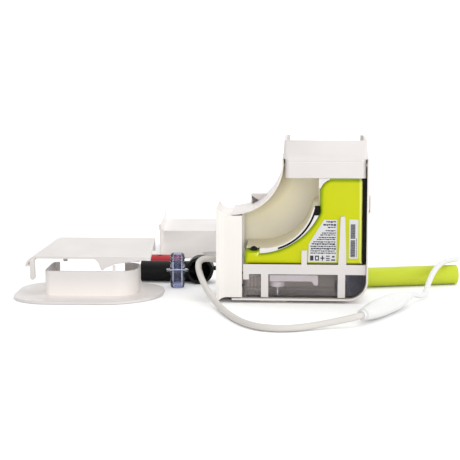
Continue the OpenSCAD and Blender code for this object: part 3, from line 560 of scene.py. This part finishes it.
def printed(name, label, bars):
    """Ink bars on the front of a label. Each bar is (left, right, bottom, top) in fractions of it."""
    lo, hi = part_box(label)
    y = lo.y - INK_LIFT
    verts = []
    for left, right, bottom, top in bars:
        x0, x1 = (lo.x + f * (hi.x - lo.x) for f in (left, right))
        z0, z1 = (lo.z + f * (hi.z - lo.z) for f in (bottom, top))
        verts += [(x0, y, z0), (x1, y, z0), (x1, y, z1), (x0, y, z1)]
    faces = [tuple(range(4 * k, 4 * k + 4)) for k in range(len(bars))]
    mesh = bpy.data.meshes.new(name)
    mesh.from_pydata(verts, [], faces)
    mesh.materials.append(INK)
    obj = bpy.data.objects.new(name, mesh)
    bpy.context.scene.collection.objects.link(obj)
    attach(obj, "pump_unit")


def line_bars():
    """Rows of word-like dashes, ranged right, with a row of square marks at the foot."""
    rows = [(0.955, 0.62, 0.034), (0.885, 0.52, 0.040), (0.825, 0.68, 0.026),
            (0.745, 0.60, 0.026), (0.690, 0.48, 0.026), (0.645, 0.42, 0.024),
            (0.585, 0.36, 0.026), (0.540, 0.30, 0.024), (0.480, 0.18, 0.026),
            (0.430, 0.12, 0.034), (0.375, 0.08, 0.026), (0.320, 0.10, 0.034),
            (0.265, 0.08, 0.026), (0.215, 0.08, 0.026)]
    bars = []
    for k, (z, left, height) in enumerate(rows):
        x = left
        step = 0
        while x < 0.93:
            word = 0.05 + 0.05 * ((3 * k + 5 * step) % 4) / 3
            drop = height * (0.35 + 0.15 * ((k + step) % 3))
            bars.append((x, min(x + word, 0.96), z - drop, z + height / 2))
            x += word + 0.014
            step += 1
    return bars + foot_marks()


def foot_marks():
    """Plain square, frame, cross and ladder shapes in a row at the foot of the label."""
    bars = [(0.07, 0.19, 0.035, 0.155)]
    bars += [(0.24, 0.38, 0.035, 0.065), (0.24, 0.38, 0.125, 0.155)]
    bars += [(0.24, 0.275, 0.065, 0.125), (0.345, 0.38, 0.065, 0.125)]
    bars += [(0.43, 0.57, 0.08, 0.11), (0.48, 0.52, 0.035, 0.08), (0.48, 0.52, 0.11, 0.155)]
    bars += [(0.62, 0.75, z, z + 0.024) for z in (0.035, 0.079, 0.131)]
    bars += [(0.80, 0.94, 0.035, 0.07), (0.83, 0.92, 0.11, 0.15)]
    return bars


def stripe_bars():
    """Stack of short dark stripes in two blocks, with a thin line of dashes beside them."""
    bars = []
    z = 0.04
    k = 0
    while z < 0.88:
        thick = 0.014 + 0.008 * ((2 * k * k + k) % 3)
        if not 0.465 < z < 0.495:
            bars.append((0.16, 0.68, z, z + thick))
        z += thick + 0.004
        k += 1
    for k in range(12):
        bars.append((0.78, 0.86, 0.05 + 0.04 * k, 0.077 + 0.04 * k))
    return bars


printed("rating_print", "rating_label", line_bars())
printed("barcode_print", "barcode_label", stripe_bars())


# ---------------------------------------------------------------- floor, light and camera

def studio():
    """Pale paper sheet that runs along the floor and curves up behind the object."""
    paper = moulded("floor_paper", (0.93, 0.93, 0.93), rough=0.9, grain=300.0, bump=0.03,
                    spread=0.01, specular=0.1, radius=0.0)
    near, far, rise, bend = -3.0, 2.6, 3.0, 0.8
    half_width = 5.0
    below = 0.0003
    steps = 12
    profile = [(near, 0.0), (far - bend, 0.0)]
    for k in range(1, steps):
        a = math.radians(90 * k / steps)
        profile.append((far - bend + bend * math.sin(a), bend - bend * math.cos(a)))
    profile += [(far, bend), (far, rise)]
    verts = [(x, y, z - below) for (y, z) in profile for x in (-half_width, half_width)]
    faces = [(2 * i, 2 * i + 1, 2 * i + 3, 2 * i + 2) for i in range(len(profile) - 1)]
    mesh = bpy.data.meshes.new("floor")
    mesh.from_pydata(verts, [], faces)
    mesh.shade_smooth()
    mesh.materials.append(paper.mat)
    floor = bpy.data.objects.new("floor", mesh)
    bpy.context.scene.collection.objects.link(floor)


def turn_to(obj, place, target):
    """Puts an object at a place and points it at a target."""
    obj.location = place
    obj.rotation_euler = (Vector(target) - Vector(place)).to_track_quat("-Z", "Y").to_euler()
    bpy.context.scene.collection.objects.link(obj)


def area_light(name, place, target, size, power):
    """Soft round white lamp."""
    lamp = bpy.data.lights.new(name, "AREA")
    lamp.shape = "DISK"
    lamp.size = size
    lamp.energy = power
    turn_to(bpy.data.objects.new(name, lamp), place, target)


def lights():
    """Four soft lamps and an even white surround."""
    middle = (-0.08, 0.05, 0.05)
    area_light("front", (0.3, -1.9, 0.35), middle, 1.2, 11.5)
    area_light("right", (1.6, -0.6, 0.7), middle, 0.9, 9.0)
    area_light("top", (0.0, 0.4, 1.9), (-0.08, 0.3, 0.0), 2.0, 10.0)
    area_light("backdrop", (0.0, 0.9, 1.6), (0.0, 2.6, 0.9), 2.0, 20.0)
    world = bpy.data.worlds.new("studio")
    world.use_nodes = True
    surround = world.node_tree.nodes["Background"]
    surround.inputs["Color"].default_value = (1, 1, 1, 1)
    surround.inputs["Strength"].default_value = 0.95
    bpy.context.scene.world = world


def camera():
    """Long lens in front of the open side, a little above it."""
    data = bpy.data.cameras.new("camera")
    data.sensor_width = 36.0
    data.lens = 118.883
    data.clip_start = 0.05
    data.clip_end = 30.0
    obj = bpy.data.objects.new("camera", data)
    turn_to(obj, (-0.015, -1.5, 0.3), (-0.0954, 0.0, 0.074))
    bpy.context.scene.camera = obj


studio()
lights()
camera()
bpy.context.scene.view_settings.view_transform = "Standard"
bpy.context.scene.view_settings.look = "None"
